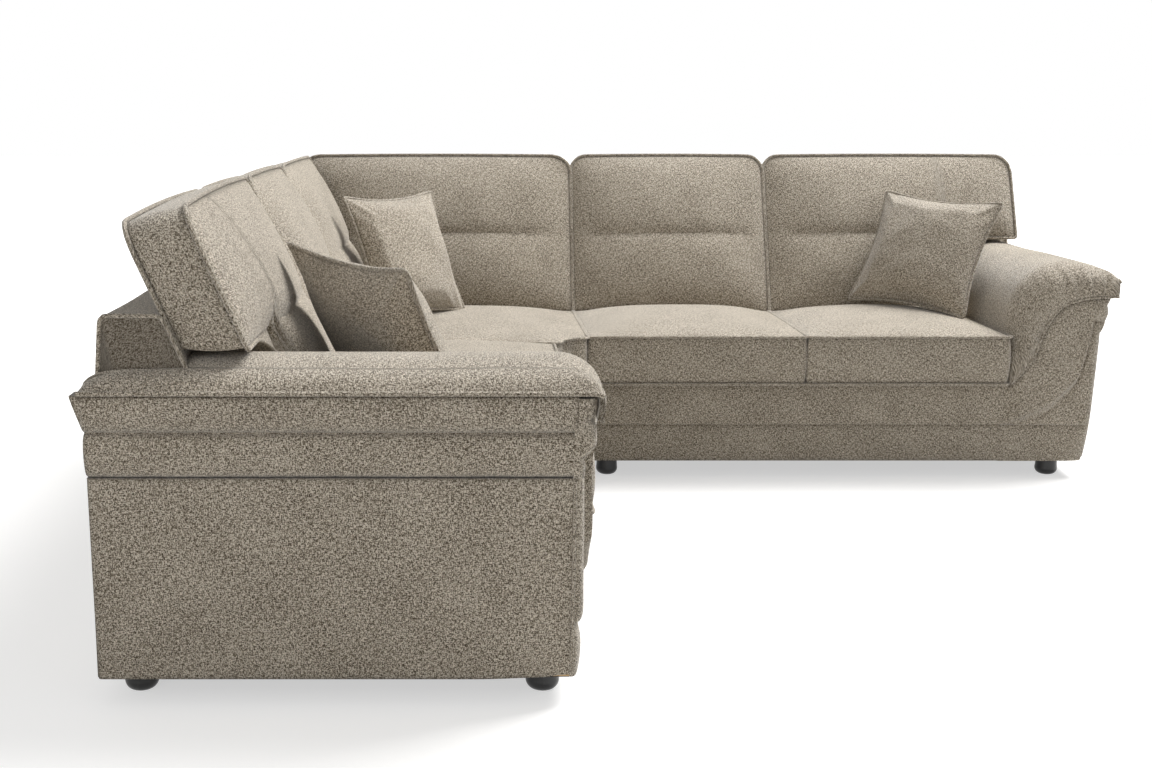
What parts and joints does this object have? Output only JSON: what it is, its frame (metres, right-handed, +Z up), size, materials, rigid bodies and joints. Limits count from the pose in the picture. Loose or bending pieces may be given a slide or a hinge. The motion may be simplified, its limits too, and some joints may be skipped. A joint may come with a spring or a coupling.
{
  "type": "corner sofa",
  "caption": "L-shaped corner sofa with loose seat and back cushions, padded roll arms, three scatter cushions and short round feet.",
  "frame": {"origin": "on the floor, under the middle of the square that the sofa's two runs span", "axes": "+Z up; one run lies along +X with its back on +Y, the other along -Y with its back on -X; the corner is at -X, +Y"},
  "size_m": [2.66, 2.66, 0.9541],
  "materials": {
    "upholstery": "chunky flecked linen-look weave, warm grey taupe",
    "timber": "planed softwood and board, unfinished",
    "webbing": "elastic webbing",
    "felt": "pressed felt deck",
    "foam": "cut polyurethane foam block",
    "fibre": "fibre filling in a white inner bag",
    "zinc_steel": "zinc plated",
    "foot_plastic": "black moulded plastic, slight sheen",
    "dust_cloth": "thin black non-woven cloth"
  },
  "bodies": {
    "root": {"back_webbing": "webbing", "corner_back_cover": "upholstery", "corner_back_frame": "timber", "corner_base_front": "upholstery", "corner_deck": "felt", "corner_seat_frame": "timber", "dust_covers": "dust_cloth", "feet": "foot_plastic", "foot_screws": "zinc_steel", "joint_bolts": "zinc_steel", "joint_washers": "zinc_steel", "left_arm_frame": "timber", "left_arm_front_panel": "upholstery", "left_arm_pad": "upholstery", "left_arm_roll": "upholstery", "left_arm_side_panel": "upholstery", "left_back_cover": "upholstery", "left_back_frame": "timber", "left_base_front": "upholstery", "left_deck": "felt", "left_seat_frame": "timber", "right_arm_frame": "timber", "right_arm_front_panel": "upholstery", "right_arm_pad": "upholstery", "right_arm_roll": "upholstery", "right_arm_side_panel": "upholstery", "right_back_cover": "upholstery", "right_back_frame": "timber", "right_base_front": "upholstery", "right_deck": "felt", "right_seat_frame": "timber", "seat_webbing": "webbing"},
    "corner_seat": {"corner_seat_cushion": "upholstery", "corner_seat_foam": "foam"},
    "right_seat_1": {"right_seat_cushion_1": "upholstery", "right_seat_foam_1": "foam"},
    "right_seat_2": {"right_seat_cushion_2": "upholstery", "right_seat_foam_2": "foam"},
    "left_seat_1": {"left_seat_cushion_1": "upholstery", "left_seat_foam_1": "foam"},
    "left_seat_2": {"left_seat_cushion_2": "upholstery", "left_seat_foam_2": "foam"},
    "right_back_1": {"right_back_cushion_1": "upholstery", "right_back_filling_1": "fibre"},
    "right_back_2": {"right_back_cushion_2": "upholstery", "right_back_filling_2": "fibre"},
    "right_back_3": {"right_back_cushion_3": "upholstery", "right_back_filling_3": "fibre"},
    "left_back_1": {"left_back_cushion_1": "upholstery", "left_back_filling_1": "fibre"},
    "left_back_2": {"left_back_cushion_2": "upholstery", "left_back_filling_2": "fibre"},
    "left_back_3": {"left_back_cushion_3": "upholstery", "left_back_filling_3": "fibre"},
    "scatter_corner": {"scatter_cushion_corner": "upholstery", "scatter_filling_corner": "fibre"},
    "scatter_left": {"scatter_cushion_left": "upholstery", "scatter_filling_left": "fibre"},
    "scatter_right": {"scatter_cushion_right": "upholstery", "scatter_filling_right": "fibre"}
  },
  "joints": [
    {"name": "corner_seat_lift", "type": "slide", "parent": "root", "child": "corner_seat", "axis": [0, 0, 1], "range_m": [0, 0.4]},
    {"name": "right_seat_1_lift", "type": "slide", "parent": "root", "child": "right_seat_1", "axis": [0, 0, 1], "range_m": [0, 0.4]},
    {"name": "right_seat_2_lift", "type": "slide", "parent": "root", "child": "right_seat_2", "axis": [0, 0, 1], "range_m": [0, 0.4]},
    {"name": "left_seat_1_lift", "type": "slide", "parent": "root", "child": "left_seat_1", "axis": [0, 0, 1], "range_m": [0, 0.4]},
    {"name": "left_seat_2_lift", "type": "slide", "parent": "root", "child": "left_seat_2", "axis": [0, 0, 1], "range_m": [0, 0.4]},
    {"name": "right_back_1_lift", "type": "slide", "parent": "corner_seat", "child": "right_back_1", "axis": [0, 0.3987, 0.9171], "range_m": [0, 0.45]},
    {"name": "right_back_2_lift", "type": "slide", "parent": "right_seat_1", "child": "right_back_2", "axis": [0, 0.3987, 0.9171], "range_m": [0, 0.45]},
    {"name": "right_back_3_lift", "type": "slide", "parent": "right_seat_2", "child": "right_back_3", "axis": [0, 0.3987, 0.9171], "range_m": [0, 0.45]},
    {"name": "left_back_1_lift", "type": "slide", "parent": "corner_seat", "child": "left_back_1", "axis": [-0.3987, 0, 0.9171], "range_m": [0, 0.45]},
    {"name": "left_back_2_lift", "type": "slide", "parent": "left_seat_1", "child": "left_back_2", "axis": [-0.3987, 0, 0.9171], "range_m": [0, 0.45]},
    {"name": "left_back_3_lift", "type": "slide", "parent": "left_seat_2", "child": "left_back_3", "axis": [-0.3987, 0, 0.9171], "range_m": [0, 0.45]},
    {"name": "scatter_corner_lift", "type": "slide", "parent": "corner_seat", "child": "scatter_corner", "axis": [0, 0, 1], "range_m": [0, 0.4]},
    {"name": "scatter_left_lift", "type": "slide", "parent": "left_seat_2", "child": "scatter_left", "axis": [0, 0, 1], "range_m": [0, 0.4]},
    {"name": "scatter_right_lift", "type": "slide", "parent": "right_seat_2", "child": "scatter_right", "axis": [0, 0, 1], "range_m": [0, 0.4]}
  ]
}
